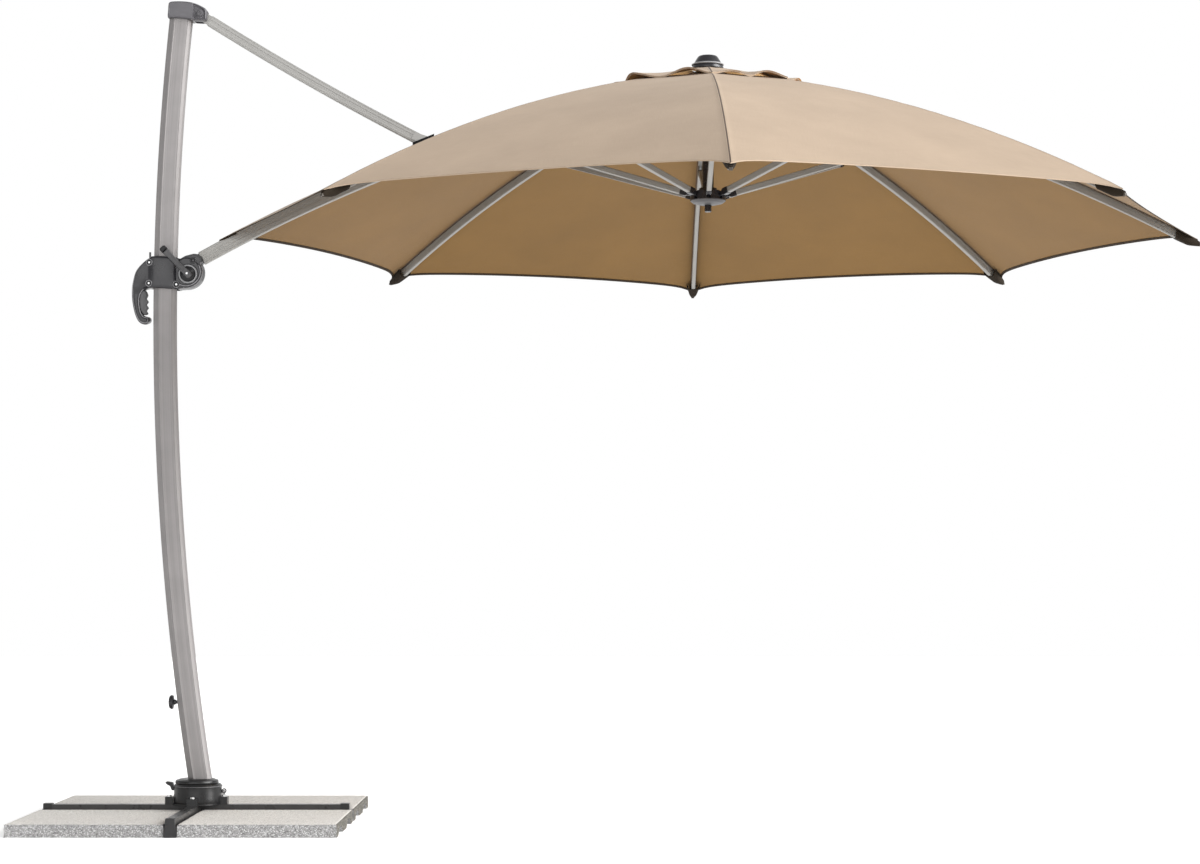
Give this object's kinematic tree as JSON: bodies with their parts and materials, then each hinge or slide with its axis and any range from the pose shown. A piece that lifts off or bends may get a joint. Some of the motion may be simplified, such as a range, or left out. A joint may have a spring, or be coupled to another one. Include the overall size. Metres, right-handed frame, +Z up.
{
  "type": "cantilever parasol",
  "caption": "Octagonal cantilever parasol on a curved mast that swivels on a slab-weighted cross base, with a slider, arm and strut that fold the canopy down beside the mast.",
  "frame": {"origin": "on the ground under the pot, on the swivel axis, at the middle of the base's underside", "axes": "+X from the mast towards the canopy, +Z up, along the swivel axis"},
  "size_m": [3.8821, 3.316, 2.749],
  "materials": {
    "rail_steel": "dark grey powder coat",
    "base_plastic": "fine-textured dark grey plastic",
    "slab_concrete": "washed concrete, light grey with fine speckle",
    "fastener_steel": "zinc-plated steel",
    "mast_aluminium": "satin warm grey",
    "frame_aluminium": "satin warm grey",
    "dark_plastic": "dark grey moulded plastic",
    "grip_plastic": "soft-touch grey",
    "disc_plastic": "light grey moulded plastic",
    "canopy_fabric": "plain woven polyester, beige"
  },
  "bodies": {
    "base": {"rail_long": "rail_steel", "rail_short": "rail_steel", "rail_end_caps": "base_plastic", "slab_front_left": "slab_concrete", "slab_front_right": "slab_concrete", "slab_rear_left": "slab_concrete", "slab_rear_right": "slab_concrete", "cross_foot": "base_plastic", "foot_bolts": "fastener_steel", "pot_housing": "base_plastic"},
    "pedal": {"foot_pedal": "base_plastic"},
    "lock_pin": {"lock_pin": "fastener_steel"},
    "mast": {"turntable": "base_plastic", "mast_tube": "mast_aluminium", "top_bracket": "dark_plastic", "strut_pivot_pin": "fastener_steel", "bracket_screws": "fastener_steel"},
    "clamp_knob": {"mast_knob": "dark_plastic"},
    "strut": {"strut_tube": "frame_aluminium", "strut_head": "dark_plastic", "strut_ears": "frame_aluminium"},
    "arm": {"arm_tube": "frame_aluminium", "arm_root": "dark_plastic", "arm_tip": "frame_aluminium", "pivot_lug": "frame_aluminium", "pivot_bolt": "fastener_steel", "arm_brace_pin": "fastener_steel"},
    "slider": {"slider_shell_front": "dark_plastic", "slider_shell_rear": "dark_plastic", "slider_screws": "fastener_steel", "arm_root_pin": "fastener_steel", "latch_rod": "fastener_steel"},
    "lever": {"lock_lever": "dark_plastic"},
    "trigger": {"grip_trigger": "grip_plastic"},
    "hub": {"upper_hub": "dark_plastic", "hub_pins": "fastener_steel", "finial_cap": "dark_plastic", "vent_cap": "canopy_fabric", "canopy": "canopy_fabric"},
    "runner": {"lower_hub": "dark_plastic", "runner_pins": "fastener_steel", "runner_disc": "disc_plastic", "centre_post": "dark_plastic", "runner_bolt": "dark_plastic"},
    "rib_1": {"rib_1": "frame_aluminium"},
    "brace_1": {"brace_1": "frame_aluminium"},
    "rib_2": {"rib_2": "frame_aluminium"},
    "brace_2": {"brace_2": "frame_aluminium"},
    "rib_3": {"rib_3": "frame_aluminium"},
    "brace_3": {"brace_3": "frame_aluminium"},
    "rib_4": {"rib_4": "frame_aluminium"},
    "brace_4": {"brace_4": "frame_aluminium"},
    "brace_5": {"brace_5": "frame_aluminium"},
    "rib_5": {"rib_5": "frame_aluminium"},
    "brace_6": {"brace_6": "frame_aluminium"},
    "rib_6": {"rib_6": "frame_aluminium"},
    "brace_7": {"brace_7": "frame_aluminium"},
    "rib_7": {"rib_7": "frame_aluminium"},
    "brace_8": {"brace_8": "frame_aluminium"}
  },
  "joints": [
    {"name": "swivel", "type": "hinge", "parent": "base", "child": "mast", "pos_m": [0, 0, 0.1], "axis": [0, 0, 1], "continuous": true},
    {"name": "pedal_press", "type": "hinge", "parent": "base", "child": "pedal", "pos_m": [-0.067, 0, 0.109], "axis": [0, -1, 0], "range_deg": [0, 12], "stiffness_Nm_per_rad": 6},
    {"name": "lock_pull", "type": "slide", "parent": "base", "child": "lock_pin", "axis": [1, 0, 0], "range_m": [0, 0.008], "stiffness_N_per_m": 800, "springref_m": -0.004},
    {"name": "knob_turn", "type": "hinge", "parent": "mast", "child": "clamp_knob", "pos_m": [-0.06568, 0, 0.395], "axis": [1, 0, 0], "continuous": true},
    {"name": "canopy_fold", "type": "hinge", "parent": "mast", "child": "strut", "pos_m": [-0.006, 0, 2.702], "axis": [0, 1, 0], "range_deg": [0, 53], "deforming": ["canopy", "vent_cap"]},
    {"name": "arm_pivot", "type": "hinge", "parent": "strut", "child": "arm", "pos_m": [0.795, 0, 2.268], "axis": [0, -1, 0], "range_deg": [0, 109.64]},
    {"name": "slider_pivot", "type": "hinge", "parent": "arm", "child": "slider", "pos_m": [-0.038, 0, 1.866], "axis": [0, 1, 0], "range_deg": [0, 49.9]},
    {"name": "lever_turn", "type": "hinge", "parent": "slider", "child": "lever", "pos_m": [-0.04, -0.04, 1.821], "axis": [0, -1, 0], "range_deg": [0, 70]},
    {"name": "trigger_squeeze", "type": "hinge", "parent": "slider", "child": "trigger", "pos_m": [-0.192, 0, 1.776], "axis": [0, 1, 0], "range_deg": [0, 2], "stiffness_Nm_per_rad": 2, "springref_deg": -2.86},
    {"name": "hub_pivot", "type": "hinge", "parent": "arm", "child": "hub", "pos_m": [1.65, 0, 2.481], "axis": [0, 1, 0], "range_deg": [0, 56.64]},
    {"name": "rib_1_fold", "type": "hinge", "parent": "hub", "child": "rib_1", "pos_m": [1.75, 0, 2.476], "axis": [0, 1, 0], "range_deg": [0, 56.64]},
    {"name": "brace_1_fold", "type": "hinge", "parent": "rib_1", "child": "brace_1", "pos_m": [2.422, 0, 2.281], "axis": [0, -1, 0], "range_deg": [0, 112.78]},
    {"name": "rib_2_fold", "type": "hinge", "parent": "hub", "child": "rib_2", "pos_m": [1.73535, 0.03535, 2.476], "axis": [-0.7071, 0.7071, 0], "range_deg": [0, 56.64]},
    {"name": "brace_2_fold", "type": "hinge", "parent": "rib_2", "child": "brace_2", "pos_m": [2.21053, 0.51053, 2.281], "axis": [0.7071, -0.7071, 0], "range_deg": [0, 112.78]},
    {"name": "rib_3_fold", "type": "hinge", "parent": "hub", "child": "rib_3", "pos_m": [1.7, 0.05, 2.476], "axis": [-1, 0, 0], "range_deg": [0, 56.64]},
    {"name": "brace_3_fold", "type": "hinge", "parent": "rib_3", "child": "brace_3", "pos_m": [1.7, 0.722, 2.281], "axis": [1, 0, 0], "range_deg": [0, 112.78]},
    {"name": "rib_4_fold", "type": "hinge", "parent": "hub", "child": "rib_4", "pos_m": [1.66464, 0.03535, 2.476], "axis": [-0.7071, -0.7071, 0], "range_deg": [0, 56.64]},
    {"name": "brace_4_fold", "type": "hinge", "parent": "rib_4", "child": "brace_4", "pos_m": [1.18947, 0.51053, 2.281], "axis": [0.7071, 0.7071, 0], "range_deg": [0, 112.78]},
    {"name": "brace_5_fold", "type": "hinge", "parent": "arm", "child": "brace_5", "pos_m": [0.978, 0, 2.286], "axis": [0, 1, 0], "range_deg": [0, 112.78]},
    {"name": "rib_5_fold", "type": "hinge", "parent": "hub", "child": "rib_5", "pos_m": [1.66464, -0.03535, 2.476], "axis": [0.7071, -0.7071, 0], "range_deg": [0, 56.64]},
    {"name": "brace_6_fold", "type": "hinge", "parent": "rib_5", "child": "brace_6", "pos_m": [1.18947, -0.51053, 2.281], "axis": [-0.7071, 0.7071, 0], "range_deg": [0, 112.78]},
    {"name": "rib_6_fold", "type": "hinge", "parent": "hub", "child": "rib_6", "pos_m": [1.7, -0.05, 2.476], "axis": [1, 0, 0], "range_deg": [0, 56.64]},
    {"name": "brace_7_fold", "type": "hinge", "parent": "rib_6", "child": "brace_7", "pos_m": [1.7, -0.722, 2.281], "axis": [-1, 0, 0], "range_deg": [0, 112.78]},
    {"name": "rib_7_fold", "type": "hinge", "parent": "hub", "child": "rib_7", "pos_m": [1.73535, -0.03535, 2.476], "axis": [0.7071, 0.7071, 0], "range_deg": [0, 56.64]},
    {"name": "brace_8_fold", "type": "hinge", "parent": "rib_7", "child": "brace_8", "pos_m": [2.21053, -0.51053, 2.281], "axis": [-0.7071, -0.7071, 0], "range_deg": [0, 112.78]},
    {"name": "runner_pivot", "type": "hinge", "parent": "brace_5", "child": "runner", "pos_m": [1.65, 0, 2.091], "axis": [0, -1, 0], "range_deg": [0, 56.64]}
  ],
  "couplings": [
    {"joint": "arm_pivot", "follows": "canopy_fold", "ratio": 2.0592},
    {"joint": "slider_pivot", "follows": "canopy_fold", "ratio": 0.932},
    {"joint": "hub_pivot", "follows": "canopy_fold", "ratio": 1.0592},
    {"joint": "rib_1_fold", "follows": "canopy_fold", "ratio": 1.0592},
    {"joint": "brace_1_fold", "follows": "canopy_fold", "ratio": 2.1184},
    {"joint": "rib_2_fold", "follows": "canopy_fold", "ratio": 1.0592},
    {"joint": "brace_2_fold", "follows": "canopy_fold", "ratio": 2.1184},
    {"joint": "rib_3_fold", "follows": "canopy_fold", "ratio": 1.0592},
    {"joint": "brace_3_fold", "follows": "canopy_fold", "ratio": 2.1184},
    {"joint": "rib_4_fold", "follows": "canopy_fold", "ratio": 1.0592},
    {"joint": "brace_4_fold", "follows": "canopy_fold", "ratio": 2.1184},
    {"joint": "brace_5_fold", "follows": "canopy_fold", "ratio": 2.1184},
    {"joint": "rib_5_fold", "follows": "canopy_fold", "ratio": 1.0592},
    {"joint": "brace_6_fold", "follows": "canopy_fold", "ratio": 2.1184},
    {"joint": "rib_6_fold", "follows": "canopy_fold", "ratio": 1.0592},
    {"joint": "brace_7_fold", "follows": "canopy_fold", "ratio": 2.1184},
    {"joint": "rib_7_fold", "follows": "canopy_fold", "ratio": 1.0592},
    {"joint": "brace_8_fold", "follows": "canopy_fold", "ratio": 2.1184},
    {"joint": "runner_pivot", "follows": "canopy_fold", "ratio": 1.0592}
  ]
}
